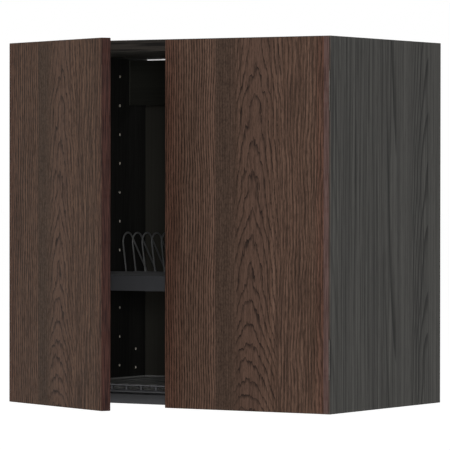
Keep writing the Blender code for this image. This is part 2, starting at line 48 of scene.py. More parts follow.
# The cabinet's sizes that the materials and fittings follow, in metres
HINGE_X = 0.2985
HINGE_Y = -0.371
OPEN_ANGLE = math.radians(25.3)
DOOR_WIDTH = 0.297
CARCASS_FRONT = -0.370
INNER_HALF = 0.282
OUTER_HALF = 0.300
CABINET_BOTTOM = -0.591
CABINET_TOP = 0.009
BOARD = 0.018
FACE_MARGIN = 0.0004
TRAY_SLOT_PITCH = 0.0285
LIP_HEIGHT = 0.010
LIP_SLOT_HALF_WIDTH = 0.01225
LIP_SLOT_HALF_HEIGHT = 0.0028
LIP_SLOT_MIDDLE = 0.0048

# The veneer's layout across a door, in metres from the edge where it starts
PALE_SPAN = (0.075, 0.086, 0.093, 0.098)
STRIP_SPAN = (0.093, 0.099, 0.116, 0.154)
ARCH_LEAF_START = (0.121, 0.142)
ARCH_MIDDLE = 0.157
ARCH_LEAN = 0.0237
ARCH_HALF_WIDTH = 0.053
RED_FIRST_EDGE = (0.046, 0.002)
RED_LAST_EDGE = (0.275, 0.297)

# The depths that the side panels' growth lines lean away from
REAR_AXIS = -0.043
CENTRE_AXIS = -0.150
FRONT_AXIS = -0.374

# Screws: radius of the head, its height and the length of the shank
HINGE_SCREW = (0.0026, 0.0005, 0.009)
BRACKET_SCREW = (0.0034, 0.0020, 0.012)
RUNNER_SCREW = (0.0032, 0.0019, 0.012)
RAIL_SCREW = (0.0030, 0.0018, 0.012)
HEAD_RINGS = 9
HEAD_SIDES = 32
HEAD_DOME = 0.55
RECESS_HALF_WIDTH = 0.14
RECESS_REACH = 0.56
RECESS_DEPTH = 0.5
SHANK_SHARE = 0.42
SHARP_ANGLE = math.radians(40.0)

# The screws' places follow the holes in the CAD pieces
LEAF_SCREW_INSET = 0.012
LEAF_SCREW_REACH = 0.0085
LEAF_FACE = 0.0011
BRACKET_SHEET = 0.003
BRACKET_FACE = INNER_HALF - 0.0033
BRACKET_SCREW_HALF_PITCH = 0.012
STEEL_FACE = INNER_HALF - 0.0018
RUNNER_SCREW_RISE = 0.009
RUNNER_SCREW_INSET = 0.030

# The plate loops' wire
LOOP_RADIUS = 0.0155
LOOP_WIRE = 0.0015
LOOP_FRONT_Y = -0.110
LOOP_REAR_Y = -0.046
LOOP_FOOT_DROP = 0.0003
LOOP_BEND_RISE = 0.0033
LOOP_BEND_RADIUS = 0.006
LOOP_CENTRE_BACK = 0.006
BEND_STEPS = 4
CROWN_STEPS = 20
WIRE_SIDES = 12
WELD_LENGTH = 0.0016
WELD_SWELL = 0.7
COLLAR_RISES = (0.00075, 0.00150, 0.00225)

# Floor, light and camera
FLOOR_HALF = 60.0
FLOOR_LEVEL = CABINET_BOTTOM - 0.30
FLOOR_WHITE = 0.90
FLOOR_GLOW = 0.50
WORLD_LIGHT = 0.55
LIGHT_TARGET = (0.0, -0.20, -0.30)
CAMERA_PLACE = (3.1360, -5.3127, -0.22161)
CAMERA_YAW = math.radians(31.5204)
CAMERA_PITCH = math.radians(-0.6972)
CAMERA_ROLL = math.radians(0.0642)
CAMERA_LENS = 288.04
CAMERA_SENSOR = 36.0
CAMERA_REACH = 300.0


# Node helpers

def srgb(red, green, blue):
    """A colour written as it shows on screen, as linear values."""
    def linear(value):
        value /= 255.0
        return value / 12.92 if value <= 0.04045 else ((value + 0.055) / 1.055) ** 2.4
    return (linear(red), linear(green), linear(blue), 1.0)


def linear_shades(tone):
    """The linear colours of one finish, by the same names."""
    return {name: srgb(*colour) for name, colour in tone.items()}


class Tree:
    """Short calls for building one material's nodes."""

    def __init__(self, name):
        self.material = bpy.data.materials.new(name)
        self.material.use_nodes = True
        self.tree = self.material.node_tree
        self.tree.nodes.clear()
        self.output = self.tree.nodes.new("ShaderNodeOutputMaterial")

    def feed(self, socket, value):
        """Links a socket's value, or sets a plain one."""
        if isinstance(value, bpy.types.NodeSocket):
            self.tree.links.new(value, socket)
        else:
            socket.default_value = value

    def math(self, operation, first, second=0.0, clamp=False):
        node = self.tree.nodes.new("ShaderNodeMath")
        node.operation = operation
        node.use_clamp = clamp
        self.feed(node.inputs[0], first)
        self.feed(node.inputs[1], second)
        return node.outputs[0]

    def add(self, first, second):
        return self.math("ADD", first, second)

    def subtract(self, first, second):
        return self.math("SUBTRACT", first, second)

    def times(self, first, second):
        return self.math("MULTIPLY", first, second)

    def largest(self, first, second):
        return self.math("MAXIMUM", first, second)

    def above(self, value, limit):
        return self.math("GREATER_THAN", value, limit)

    def below(self, value, limit):
        return self.math("LESS_THAN", value, limit)

    def within(self, value, low, high):
        return self.times(self.above(value, low), self.below(value, high))

    def step(self, value, low, high):
        """0 below low, 1 above high, and smooth between them. With low above high it falls instead."""
        node = self.tree.nodes.new("ShaderNodeMapRange")
        node.interpolation_type = "SMOOTHSTEP"
        self.feed(node.inputs["Value"], value)
        falls = low > high
        node.inputs["From Min"].default_value = min(low, high)
        node.inputs["From Max"].default_value = max(low, high)
        node.inputs["To Min"].default_value = 1.0 if falls else 0.0
        node.inputs["To Max"].default_value = 0.0 if falls else 1.0
        return node.outputs["Result"]

    def span(self, value, start, full, fade, end):
        """1 between full and fade, 0 before start and after end, and smooth between them."""
        return self.times(self.step(value, start, full), self.step(value, end, fade))

    def place(self):
        return self.tree.nodes.new("ShaderNodeTexCoord").outputs["Object"]

    def split(self, vector):
        node = self.tree.nodes.new("ShaderNodeSeparateXYZ")
        self.feed(node.inputs[0], vector)
        return node.outputs

    def vector(self, x, y, z):
        node = self.tree.nodes.new("ShaderNodeCombineXYZ")
        for socket, value in zip(node.inputs, (x, y, z)):
            self.feed(socket, value)
        return node.outputs[0]

    def turned(self, vector, pivot, angle):
        """The place as seen from the pivot, turned about Z."""
        moved = self.tree.nodes.new("ShaderNodeVectorMath")
        moved.operation = "SUBTRACT"
        self.feed(moved.inputs[0], vector)
        moved.inputs[1].default_value = pivot
        node = self.tree.nodes.new("ShaderNodeMapping")
        self.feed(node.inputs["Vector"], moved.outputs[0])
        node.inputs["Rotation"].default_value = (0.0, 0.0, angle)
        return node.outputs[0]

    def noise(self, vector, scale=1.0, detail=2.0, roughness=0.5):
        node = self.tree.nodes.new("ShaderNodeTexNoise")
        self.feed(node.inputs["Vector"], vector)
        node.inputs["Scale"].default_value = scale
        node.inputs["Detail"].default_value = detail
        node.inputs["Roughness"].default_value = roughness
        return node.outputs[0]

    def grain(self, across, along, rates, seed, detail=2.0, roughness=0.5):
        """Noise drawn out along the grain. rates are its changes in a metre, across and along."""
        place = self.vector(self.times(across, rates[0]), seed, self.times(along, rates[1]))
        return self.noise(place, 1.0, detail, roughness)

    def sway(self, across, along, rates, seed, detail=2.0, roughness=0.5):
        """The same noise about 0."""
        return self.subtract(self.grain(across, along, rates, seed, detail, roughness), 0.5)

    def mix(self, share, first, second):
        node = self.tree.nodes.new("ShaderNodeMix")
        node.data_type = "RGBA"
        self.feed(node.inputs[0], share)
        self.feed(node.inputs[6], first)
        self.feed(node.inputs[7], second)
        return node.outputs[2]

    def bump(self, height, distance, strength):
        node = self.tree.nodes.new("ShaderNodeBump")
        node.inputs["Strength"].default_value = strength
        node.inputs["Distance"].default_value = distance
        self.feed(node.inputs["Height"], height)
        return node.outputs[0]

    def surface(self, colour, roughness, normal, specular=0.5, metallic=0.0):
        node = self.tree.nodes.new("ShaderNodeBsdfPrincipled")
        self.feed(node.inputs["Base Color"], colour)
        self.feed(node.inputs["Roughness"], roughness)
        self.feed(node.inputs["Normal"], normal)
        node.inputs["Metallic"].default_value = metallic
        node.inputs["Specular IOR Level"].default_value = specular
        self.tree.links.new(node.outputs[0], self.output.inputs[0])
        return self.material


# Materials

def veneer(name, pivot, angle, first_edge, tone, fine=1.0):
    """Stained oak veneer: straight grain on the left, a darker strip, then a leaf with tall arches.

    fine scales how closely the straight lines lie.
    """
    t = Tree(name)
    across, depth, up = t.split(t.turned(t.place(), pivot, angle))
    across = t.subtract(across, first_edge)
    height = t.subtract(up, CABINET_BOTTOM)
    slow = t.sway(across, up, (9.0, 4.2), 3.1)
    ripple = t.sway(across, up, (42.0, 14.0), 5.7)
    jagged = t.sway(across, up, (165.0, 30.0), 9.2, 2.0, 0.6)

    # Growth lines of the arched leaf, stacked up its middle. Their crests are jagged and strong,
    # and their legs thin and broken.
    middle = t.add(t.add(ARCH_MIDDLE, t.times(height, ARCH_LEAN)), t.times(slow, 0.008))
    beside_middle = t.subtract(across, middle)
    offset = t.math("ABSOLUTE", beside_middle)
    flat_top = t.times(t.step(height, 0.17, 0.02), 0.011)
    leg = t.largest(t.subtract(offset, flat_top), 0.0)
    peaks = t.times(t.math("POWER", t.add(height, 0.030), 0.60), 22.0)
    spread = t.times(t.math("POWER", leg, 1.53), 430.0)
    uneven = t.subtract(t.noise(t.vector(0.4, 2.2, t.times(up, 15.0)), detail=1.0), 0.5)
    rings = t.add(t.add(peaks, spread), t.add(t.times(slow, 0.6), t.times(ripple, 0.60)))
    rings = t.add(rings, t.times(uneven, 1.6))
    beside = t.step(offset, 0.012, 0.045)
    rings = t.add(rings, t.times(jagged, t.subtract(1.10, t.times(beside, 0.85))))
    part = t.math("FRACT", rings)
    line_start = t.add(0.67, t.times(beside, -0.15))
    line = t.math("DIVIDE", t.subtract(part, line_start), t.subtract(0.96, line_start), clamp=True)
    line = t.times(line, t.step(part, 1.0, 0.965))
    beads = t.grain(across, up, (160.0, 130.0), 3.3)
    gaps = t.times(t.step(beads, 0.56, 0.42), t.add(0.30, t.times(beside, 0.28)))
    arch_leaf = t.step(across, *ARCH_LEAF_START)
    far_side = t.step(beside_middle, 0.046, 0.060)
    line = t.times(t.times(line, arch_leaf), t.times(t.subtract(1.0, gaps), t.subtract(1.0, far_side)))
    calm = t.times(arch_leaf, t.subtract(1.0, beside))

    # Straight lines of the first leaf, and wavy ones on the far side of the arches
    beyond = t.times(t.subtract(beside_middle, ARCH_HALF_WIDTH), far_side)
    plain = t.add(t.times(across, 213.0 * fine), t.times(beyond, -50.0 * fine))
    plain = t.add(plain, t.times(slow, 4.0))
    plain = t.add(plain, t.times(ripple, t.add(0.8, t.times(far_side, 1.6))))
    plain_line = t.span(t.math("FRACT", plain), 0.38, 0.60, 0.86, 1.0)
    straight = t.largest(t.subtract(1.0, arch_leaf), far_side)
    plain_beads = t.grain(across, up, (420.0 * fine, 62.0), 5.1)
    plain_gaps = t.times(t.step(plain_beads, 0.56, 0.42), 0.48)
    plain_line = t.times(t.times(plain_line, straight), t.subtract(1.0, plain_gaps))

    # Streaks, thin dark threads, flecks and open pores, all drawn out along the grain
    streaks = t.grain(across, up, (300.0 * fine, 6.0), 1.3, 3.0, 0.70)
    threads = t.step(t.grain(across, up, (500.0 * fine, 10.0), 6.6, 2.0, 0.60), 0.50, 0.60)
    flecks = t.grain(across, up, (430.0 * fine, 70.0), 7.9, 3.0, 0.65)
    pores = t.step(t.grain(across, up, (900.0 * fine, 90.0), 2.4), 0.54, 0.64)
    broad = t.grain(across, up, (30.0, 1.8), 4.6)

    # The darker strip between the two leaves, with short flecks across it
    strip = t.span(across, *STRIP_SPAN)
    rays = t.step(t.grain(across, up, (330.0, 230.0), 8.8, 3.0, 0.6), 0.48, 0.58)

    shades = linear_shades(tone)
    light, base, dark = shades["light"], shades["base"], shades["dark"]
    colour = t.mix(t.step(streaks, 0.26, 0.74), base, light)
    colour = t.mix(t.times(calm, 0.75), colour, shades["calm"])
    colour = t.mix(t.times(t.step(broad, 0.60, 0.38), 0.12), colour, base)
    red_edges = t.largest(t.step(across, *RED_FIRST_EDGE), t.step(across, *RED_LAST_EDGE))
    colour = t.mix(t.times(red_edges, 0.42), colour, shades["red"])
    colour = t.mix(t.times(t.span(across, *PALE_SPAN), 0.38), colour, light)
    colour = t.mix(t.times(strip, 0.65), colour, shades["strip"])
    colour = t.mix(t.times(t.times(strip, rays), 0.34), colour, dark)
    thread_share = t.subtract(t.subtract(0.46, t.times(calm, 0.22)), t.times(strip, 0.10))
    thread_share = t.subtract(thread_share, t.times(t.subtract(1.0, arch_leaf), 0.24))
    colour = t.mix(t.times(threads, thread_share), colour, dark)
    fleck_share = t.add(0.26, t.times(far_side, 0.08))
    colour = t.mix(t.times(t.step(flecks, 0.50, 0.64), fleck_share), colour, dark)
    plain_share = t.subtract(t.subtract(0.86, t.times(strip, 0.46)), t.times(far_side, 0.26))
    colour = t.mix(t.largest(line, t.times(plain_line, plain_share)), colour, dark)
    colour = t.mix(t.times(pores, 0.32), colour, dark)

    # The edge band on the narrow faces
    edge = t.largest(t.above(across, DOOR_WIDTH - FACE_MARGIN), t.below(across, FACE_MARGIN))
    edge_grain = t.noise(t.vector(0.7, t.times(depth, 560.0), t.times(up, 20.0)), 1.0, 3.0, 0.7)
    edge_colour = t.mix(t.step(edge_grain, 0.38, 0.62), shades["edge_dark"], shades["edge"])
    colour = t.mix(edge, colour, edge_colour)

    relief = t.subtract(t.times(streaks, 0.5), t.add(t.times(flecks, 0.5), t.times(line, 0.5)))
    roughness = t.add(0.54, t.times(pores, 0.16))
    return t.surface(colour, roughness, t.bump(relief, 0.00025, 0.5), specular=0.10)


def leaning_lines(t, rise, offset, spread, power, shift, start=0.58):
    """Growth lines that fall away from an axis: rise along it, offset to one side of it."""
    leg = t.math("POWER", t.largest(offset, 0.0), power)
    rings = t.add(t.add(rise, shift), t.times(leg, spread))
    return t.span(t.math("FRACT", rings), start, 0.90, 0.94, 1.0)


def side_lines(t, length, depth, warp, uneven, patches):
    """The side panels' print: lines that lean away from three axes, and upright ones between."""
    rear = t.subtract(REAR_AXIS, depth)
    rear_shift = t.add(t.times(warp, 0.22), t.times(uneven, 1.6))
    rear_lines = leaning_lines(t, t.times(length, 10.4), rear, 960.0, 1.9, rear_shift, 0.50)
    rear_lines = t.times(rear_lines, t.span(rear, -0.001, 0.003, 0.050, 0.062))
    centre = t.subtract(CENTRE_AXIS, depth)
    centre_shift = t.add(0.51, t.times(warp, 0.20))
    centre_lines = leaning_lines(t, t.times(length, -3.0), centre, 537.0, 1.9, centre_shift)
    centre_lines = t.times(centre_lines, t.span(centre, 0.000, 0.006, 0.034, 0.048))
    front = t.subtract(depth, FRONT_AXIS)
    front_lines = leaning_lines(t, t.times(length, 6.7), front, 198.0, 1.5, t.times(warp, 0.22))
    front_lines = t.times(front_lines, t.times(t.step(front, 0.040, 0.026), 0.45))
    part = t.math("FRACT", t.add(t.times(depth, 66.0), t.times(warp, 0.40)))
    upright = t.times(t.span(part, 0.50, 0.90, 0.94, 1.0), t.span(depth, -0.345, -0.330, -0.180, -0.165))
    upright = t.times(upright, t.add(0.20, t.times(t.step(patches, 0.38, 0.58), 0.45)))
    return t.largest(t.largest(rear_lines, centre_lines), t.largest(front_lines, upright))


def foil(name, along, across_axis, tone, side_print=False, grain=1.0):
    """Dark printed foil with an embossed wood grain that runs along one axis.

    side_print gives the side panels' own pattern. grain scales the contrast of the print.
    """
    t = Tree(name)
    place = t.place()
    parts = t.split(place)
    x, y, z = parts
    half = t.math("ABSOLUTE", x)
    length = parts["XYZ".index(along)]
    width = parts["XYZ".index(across_axis)]
    other = parts[3 - "XYZ".index(along) - "XYZ".index(across_axis)]
    seed = t.times(t.math("SIGN", other), 2.7)

    # The print's dark growth lines, and where it is quiet between them
    slow = t.sway(width, length, (7.0, 1.6), seed)
    ripple = t.sway(width, length, (30.0, 5.0), seed)
    warp = t.add(t.times(slow, 4.0), t.times(ripple, 0.9))
    patches = t.grain(width, length, (60.0, 5.0), seed, 3.0)
    if side_print:
        uneven = t.subtract(t.noise(t.vector(seed, 6.1, t.times(length, 7.0)), detail=1.0), 0.5)
        line = side_lines(t, length, width, warp, uneven, patches)
        quiet = t.span(width, -0.166, -0.154, -0.106, -0.094)
        quiet = t.largest(quiet, t.step(width, -0.046, -0.034))
    else:
        part = t.math("FRACT", t.add(t.times(width, 95.0), warp))
        line_share = t.add(0.15, t.times(t.step(patches, 0.38, 0.58), 0.85))
        line = t.times(t.span(part, 0.50, 0.92, 0.94, 1.0), line_share)
        quiet = 0.0
    busy = t.subtract(1.0, t.times(quiet, 0.60))

    streaks = t.grain(width, length, (300.0, 1.6), seed, 3.0, 0.70)
    threads = t.grain(width, length, (360.0, 3.4), seed, 2.0, 0.6)
    threads = t.times(t.step(threads, 0.50, 0.60), busy)
    bands = t.grain(width, length, (34.0, 0.9), seed)
    flecks = t.grain(width, length, (480.0, 30.0), seed, 3.0, 0.6)
    shades = linear_shades(tone)
    light, base, dark = shades["light"], shades["base"], shades["dark"]
    streaky = t.step(streaks, 0.38, 0.62)
    colour = t.mix(streaky, base, light)
    colour = t.mix(t.times(t.step(bands, 0.60, 0.38), 0.25 * grain), colour, base)
    if along == "Z":
        # A fainter print on the faces inside the cabinet, darkened there with painted shade
        outer_face = t.above(half, OUTER_HALF - 0.0008)
        line = t.times(line, t.add(0.30, t.times(outer_face, 0.70)))
        threads = t.times(threads, t.add(0.45, t.times(outer_face, 0.55)))
        colour = t.mix(t.times(t.subtract(1.0, outer_face), 0.58), colour, dark)
    colour = t.mix(t.times(threads, 0.56 * grain), colour, dark)
    colour = t.mix(t.times(line, 0.72 * grain), colour, dark)
    colour = t.mix(t.times(t.step(flecks, 0.52, 0.68), 0.25 * grain), colour, dark)

    # The front edge band, bare chipboard inside the bores and grooves, a painted highlight on the rear
    # board's ends, and a paler top panel underside that is painted light
    front_edge = t.below(y, CARCASS_FRONT + FACE_MARGIN)
    band_grain = t.grain(other, length, (230.0, 7.0), 0.4, 3.0, 0.7)
    band = t.mix(t.step(band_grain, 0.38, 0.62), shades["band_dark"], shades["band"])
    colour = t.mix(front_edge, colour, band)
    if along == "Z":
        inside = t.within(half, INNER_HALF + 0.0003, OUTER_HALF - 0.0015)
        inside = t.times(inside, t.within(y, CARCASS_FRONT + 0.0010, -0.0008))
        inside = t.times(inside, t.within(z, CABINET_BOTTOM + 0.0008, CABINET_TOP - 0.0008))
        chips = t.noise(place, 900.0, 3.0, 0.7)
        raw = t.mix(t.step(chips, 0.35, 0.65), srgb(226, 218, 202), srgb(250, 245, 236))
        colour = t.mix(inside, colour, raw)
    # Painted highlight on the ends of the rear board
    elif "end" in tone:
        colour = t.mix(t.above(half, INNER_HALF - 0.0013), colour, shades["end"])
    # Painted light: a paler underside for the top panel
    if "under" in tone:
        underside = t.times(t.below(z, CABINET_TOP - BOARD + 0.0002), t.subtract(1.0, front_edge))
        colour = t.mix(underside, colour, t.mix(streaky, shades["under"], light))
    relief = t.subtract(t.times(streaks, 0.4), t.add(t.times(flecks, 0.5), t.times(line, 0.5)))
    roughness = t.add(0.56, t.times(flecks, 0.12))
    return t.surface(colour, roughness, t.bump(relief, 0.00025, 0.45), specular=0.10)


def coated(name, colour, colour_worn, roughness, painted_light_and_shade=None):
    """Powder coat: a fine orange peel, with slightly paler rubbed patches.

    painted_light_and_shade is a function that takes the tree, the place and the shade, and gives the
    shade of one piece with its painted light and shade.
    """
    t = Tree(name)
    place = t.place()
    peel = t.noise(place, 2600.0)
    patches = t.noise(place, 24.0, 4.0, 0.6)
    shade = t.mix(t.step(patches, 0.42, 0.72), srgb(*colour), srgb(*colour_worn))
    if painted_light_and_shade is not None:
        shade = painted_light_and_shade(t, place, shade)
    roughness = t.add(roughness, t.times(t.subtract(patches, 0.5), 0.14))
    return t.surface(shade, roughness, t.bump(peel, 0.00004, 0.6))


def glass_tray_painted_light(t, place, shade):
    """Painted light and shade on the glass tray: painted shade on the pressed edges of its lip's slots,
    painted highlights between the slots and along the lip's rim, and a paler floor that is painted
    light.
    """
    x, y, z = t.split(place)
    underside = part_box("glass_tray")[0][2]
    along = t.subtract(t.math("FRACT", t.times(x, 1.0 / TRAY_SLOT_PITCH)), 0.5)
    along = t.times(along, TRAY_SLOT_PITCH / LIP_SLOT_HALF_WIDTH)
    height = t.times(t.subtract(z, underside + LIP_SLOT_MIDDLE), 1.0 / LIP_SLOT_HALF_HEIGHT)
    away = t.math("SQRT", t.add(t.times(along, along), t.times(height, height)))
    # Painted shade: dark rings round the slots in the lip
    shade = t.mix(t.times(t.step(away, 1.75, 1.25), 0.9), shade, srgb(10, 10, 12))
    # Painted highlights on the lip between its slots
    between = t.times(t.step(t.math("ABSOLUTE", along), 0.98, 1.12),
                      t.step(t.math("ABSOLUTE", height), 1.3, 0.5))
    shade = t.mix(t.times(between, 0.55), shade, srgb(112, 113, 116))
    # Painted highlight along the lip's rim
    rim = t.step(z, underside + LIP_HEIGHT - 0.0018, underside + LIP_HEIGHT - 0.0010)
    shade = t.mix(rim, shade, srgb(104, 105, 108))
    # Painted light: the floor behind the lip is paler
    return t.mix(t.step(y, CARCASS_FRONT + 0.002, CARCASS_FRONT + 0.006), shade, srgb(156, 156, 154))


def front_rail_painted_shade(t, place, shade):
    """Painted shade: darker towards the rail's upper edge."""
    low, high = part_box("bottom_front_rail")
    upper = t.step(t.split(place)[2], low[2] + 0.002, high[2])
    return t.mix(t.times(upper, 0.50), shade, srgb(14, 14, 16))


def brushed(name, colour, colour_dark, roughness):
    """Plated steel with fine rolling marks."""
    t = Tree(name)
    place = t.place()
    x, y, z = t.split(place)
    marks = t.noise(t.vector(t.times(x, 900.0), t.times(y, 900.0), t.times(z, 60.0)), 1.0, 3.0, 0.6)
    spangle = t.noise(place, 160.0, 3.0)
    pattern = t.step(t.add(t.times(marks, 0.5), t.times(spangle, 0.5)), 0.38, 0.62)
    shade = t.mix(pattern, srgb(*colour_dark), srgb(*colour))
    roughness = t.add(roughness, t.times(t.subtract(marks, 0.5), 0.2))
    return t.surface(shade, roughness, t.bump(marks, 0.00002, 0.5), metallic=1.0)


def moulded(name, colour, colour_dark, roughness):
    """Moulded plastic with a fine spark-eroded texture."""
    t = Tree(name)
    place = t.place()
    texture = t.noise(place, 1900.0, 2.0, 0.6)
    film = t.noise(place, 30.0, 3.0, 0.6)
    shade = t.mix(t.step(film, 0.38, 0.70), srgb(*colour), srgb(*colour_dark))
    return t.surface(shade, t.add(roughness, t.times(film, 0.12)), t.bump(texture, 0.00005, 0.5))


right_tone = {
    "light": (104, 80, 67), "base": (80, 59, 47), "dark": (24, 14, 9), "red": (90, 54, 42),
    "strip": (62, 49, 40), "edge": (97, 74, 69), "edge_dark": (62, 43, 39), "calm": (80, 60, 50),
}
left_tone = {
    "light": (97, 74, 60), "base": (76, 56, 44), "dark": (22, 13, 9), "red": (86, 58, 46),
    "strip": (61, 49, 39), "edge": (73, 46, 40), "edge_dark": (38, 22, 20), "calm": (84, 64, 53),
}
# The side panels' front edge band is paler than the top panel's: partly the band's own tone, partly
# painted light for the shaded gap beside the doors
board_tone = {
    "light": (74, 73, 70), "base": (60, 59, 57), "dark": (24, 24, 23),
    "band": (100, 90, 83), "band_dark": (84, 75, 69),
}
# The top panel's paler underside shade is painted light
top_tone = {
    "light": (71, 70, 68), "base": (57, 56, 54), "dark": (30, 30, 29),
    "band": (49, 45, 41), "band_dark": (14, 12, 11), "under": (126, 122, 114),
}
# The rear board's pale end shade is a painted highlight
rear_tone = {
    "light": (52, 52, 47), "base": (48, 48, 44), "dark": (40, 40, 37),
    "band": (55, 55, 51), "band_dark": (50, 50, 46), "end": (130, 132, 120),
}
back_tone = {
    "light": (86, 84, 77), "base": (80, 78, 71), "dark": (62, 61, 56),
    "band": (62, 62, 58), "band_dark": (56, 56, 52),
}

left_veneer = veneer("left_door_veneer", (-HINGE_X, HINGE_Y, 0.0), OPEN_ANGLE, -0.0005, left_tone,
                     fine=0.72)
right_veneer = veneer("right_door_veneer", (0.0, 0.0, 0.0), 0.0, 0.002, right_tone)
side_foil = foil("side_foil", "Z", "Y", board_tone, side_print=True)
top_foil = foil("top_foil", "X", "Y", top_tone)
rear_foil = foil("rear_board_foil", "X", "Z", rear_tone, grain=0.4)
back_foil = foil("back_panel_paint", "Z", "X", back_tone, grain=0.6)
# The rack's powder coat is painted paler than the front rail's same coat: painted light for the shade
# inside the cabinet
steel_coat = coated("rack_powder_coat", (66, 67, 70), (74, 75, 78), 0.42)
rail_coat = coated("front_rail_powder_coat", (50, 51, 54), (58, 59, 62), 0.42, front_rail_painted_shade)
tray_coat = coated("glass_tray_powder_coat", (44, 45, 49), (52, 53, 57), 0.38, glass_tray_painted_light)
wire_coat = coated("wire_coat", (108, 109, 109), (121, 122, 121), 0.36)
insert_coat = coated("insert_coat", (92, 93, 94), (102, 103, 104), 0.38)
hinge_plate = brushed("hinge_plating", (100, 95, 90), (80, 76, 72), 0.42)
zinc_plate = brushed("bracket_zinc", (152, 154, 156), (118, 120, 124), 0.38)
tray_plastic = moulded("tray_plastic", (70, 71, 73), (60, 61, 63), 0.44)

node_materials = {
    "left_door": left_veneer, "right_door": right_veneer,
    "side_panel_left": side_foil, "side_panel_right": side_foil,
    "top_panel": top_foil, "rear_top_board": rear_foil, "rear_bottom_rail": rear_foil,
    "back_panel": back_foil, "drip_tray": tray_plastic, "plate_insert": insert_coat,
    "suspension_bracket_left": zinc_plate, "suspension_bracket_right": zinc_plate,
    "bottom_front_rail": rail_coat, "glass_tray": tray_coat,
}


def material_for(name):
    """The finish of a CAD node, by its name."""
    if name in node_materials:
        return node_materials[name]
    if "hinge" in name:
        return hinge_plate
    if name.startswith("plate_loop"):
        return wire_coat
    return steel_coat


for name, piece in nodes.items():
    finish = material_for(name)
    if piece.material_slots:
        for material_slot in piece.material_slots:
            material_slot.material = finish
    else:
        piece.data.materials.append(finish)


# Small fittings and the plate loops, in mesh code

def make_piece(name, bm, finish, body):
    """Turns a bmesh into a shown piece that rides on a CAD body."""
    bmesh.ops.recalc_face_normals(bm, faces=bm.faces)
    mesh = bpy.data.meshes.new(name)
    bm.to_mesh(mesh)
    bm.free()
    mesh.shade_smooth()
    mesh.set_sharp_from_angle(angle=SHARP_ANGLE)
    mesh.materials.append(finish)
    piece = bpy.data.objects.new(name, mesh)
    scene.collection.objects.link(piece)
    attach(piece, body)
    return piece


def bridge(bm, first, second):
    """Faces between two rings of as many vertices."""
    count = len(first)
    for number in range(count):
        after = (number + 1) % count
        bm.faces.new((first[number], first[after], second[after], second[number]))


def bridge_all(bm, rings):
    """Faces between each ring and the next."""
    for first, second in zip(rings, rings[1:]):
        bridge(bm, first, second)


def put_screw(bm, place, direction, size):
    """A pan-head screw with a cross recess. direction points out of the surface it holds."""
    radius, height, shank = size
    turn = Vector(direction).to_track_quat("Z", "Y").to_matrix().to_4x4()
    placed = Matrix.Translation(place) @ turn

    def ring(distance, level):
        made = []
        for number in range(HEAD_SIDES):
            angle = 2.0 * math.pi * number / HEAD_SIDES
            x = distance * math.cos(angle)
            y = distance * math.sin(angle)
            z = level
            if level > 0.0:
                z = level * (1.0 - HEAD_DOME * (distance / radius) ** 2)
                near, far = sorted((abs(x), abs(y)))
                if near < RECESS_HALF_WIDTH * radius and far < RECESS_REACH * radius:
                    z -= RECESS_DEPTH * height
            made.append(bm.verts.new(placed @ Vector((x, y, z))))
        return made

    centre = bm.verts.new(placed @ Vector((0.0, 0.0, height - RECESS_DEPTH * height)))
    rings = [ring(radius * (number + 1) / HEAD_RINGS, height) for number in range(HEAD_RINGS)]
    for number in range(HEAD_SIDES):
        bm.faces.new((centre, rings[0][number], rings[0][(number + 1) % HEAD_SIDES]))
    rings += [ring(radius, 0.0), ring(SHANK_SHARE * radius, 0.0), ring(SHANK_SHARE * radius, -shank)]
    bridge_all(bm, rings)
    bm.faces.new(rings[-1])


def side_screws(name, side, places, x, size):
    """Screws that point into a side panel, with their heads at X on its inner side."""
    bm = bmesh.new()
    for y, z in places:
        put_screw(bm, (side * x, y, z), (-side, 0.0, 0.0), size)
    make_piece(name, bm, zinc_plate, "cabinet")


def hinge_screws(name, side, leaf_node, body, outwards):
    """The two screws of one hinge leaf, turned with the door where the leaf rides on it."""
    low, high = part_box(leaf_node)
    turn = Matrix.Identity(3)
    pivot = Vector((side * HINGE_X, HINGE_Y, 0.0))
    if body == "left_door":
        turn = Matrix.Rotation(-OPEN_ANGLE, 3, "Z")
    bm = bmesh.new()
    for z in (low[2] + LEAF_SCREW_INSET, high[2] - LEAF_SCREW_INSET):
        place = pivot + turn @ Vector((-side * LEAF_SCREW_REACH, outwards * LEAF_FACE, 0.0))
        place.z = z
        put_screw(bm, place, turn @ Vector((0.0, -outwards, 0.0)), HINGE_SCREW)
    make_piece(name, bm, zinc_plate, body)


for side, side_name in ((-1, "left"), (1, "right")):
    for level_name in ("lower", "upper"):
        hinge = side_name + "_hinge_" + level_name
        hinge_screws(hinge + "_carcass_screws", side, hinge + "_carcass_leaf", "cabinet", 1)
        hinge_screws(hinge + "_door_screws", side, hinge + "_door_leaf", side_name + "_door", -1)

    low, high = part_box("suspension_bracket_" + side_name)
    screw_y = (low[1] + high[1] - BRACKET_SHEET) / 2
    middle_z = (low[2] + high[2]) / 2
    places = [(screw_y, middle_z + way * BRACKET_SCREW_HALF_PITCH) for way in (-1, 1)]
    side_screws("bracket_screws_" + side_name, side, places, BRACKET_FACE, BRACKET_SCREW)

    low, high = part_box("tray_runner_" + side_name)
    screw_z = low[2] + RUNNER_SCREW_RISE
    places = [(low[1] + RUNNER_SCREW_INSET, screw_z), (high[1] - RUNNER_SCREW_INSET, screw_z)]
    side_screws("runner_screws_" + side_name, side, places, STEEL_FACE, RUNNER_SCREW)

    low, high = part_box("bottom_front_rail")
    places = [((low[1] + high[1]) / 2, (low[2] + high[2]) / 2)]
    side_screws("front_rail_screws_" + side_name, side, places, STEEL_FACE, RAIL_SCREW)


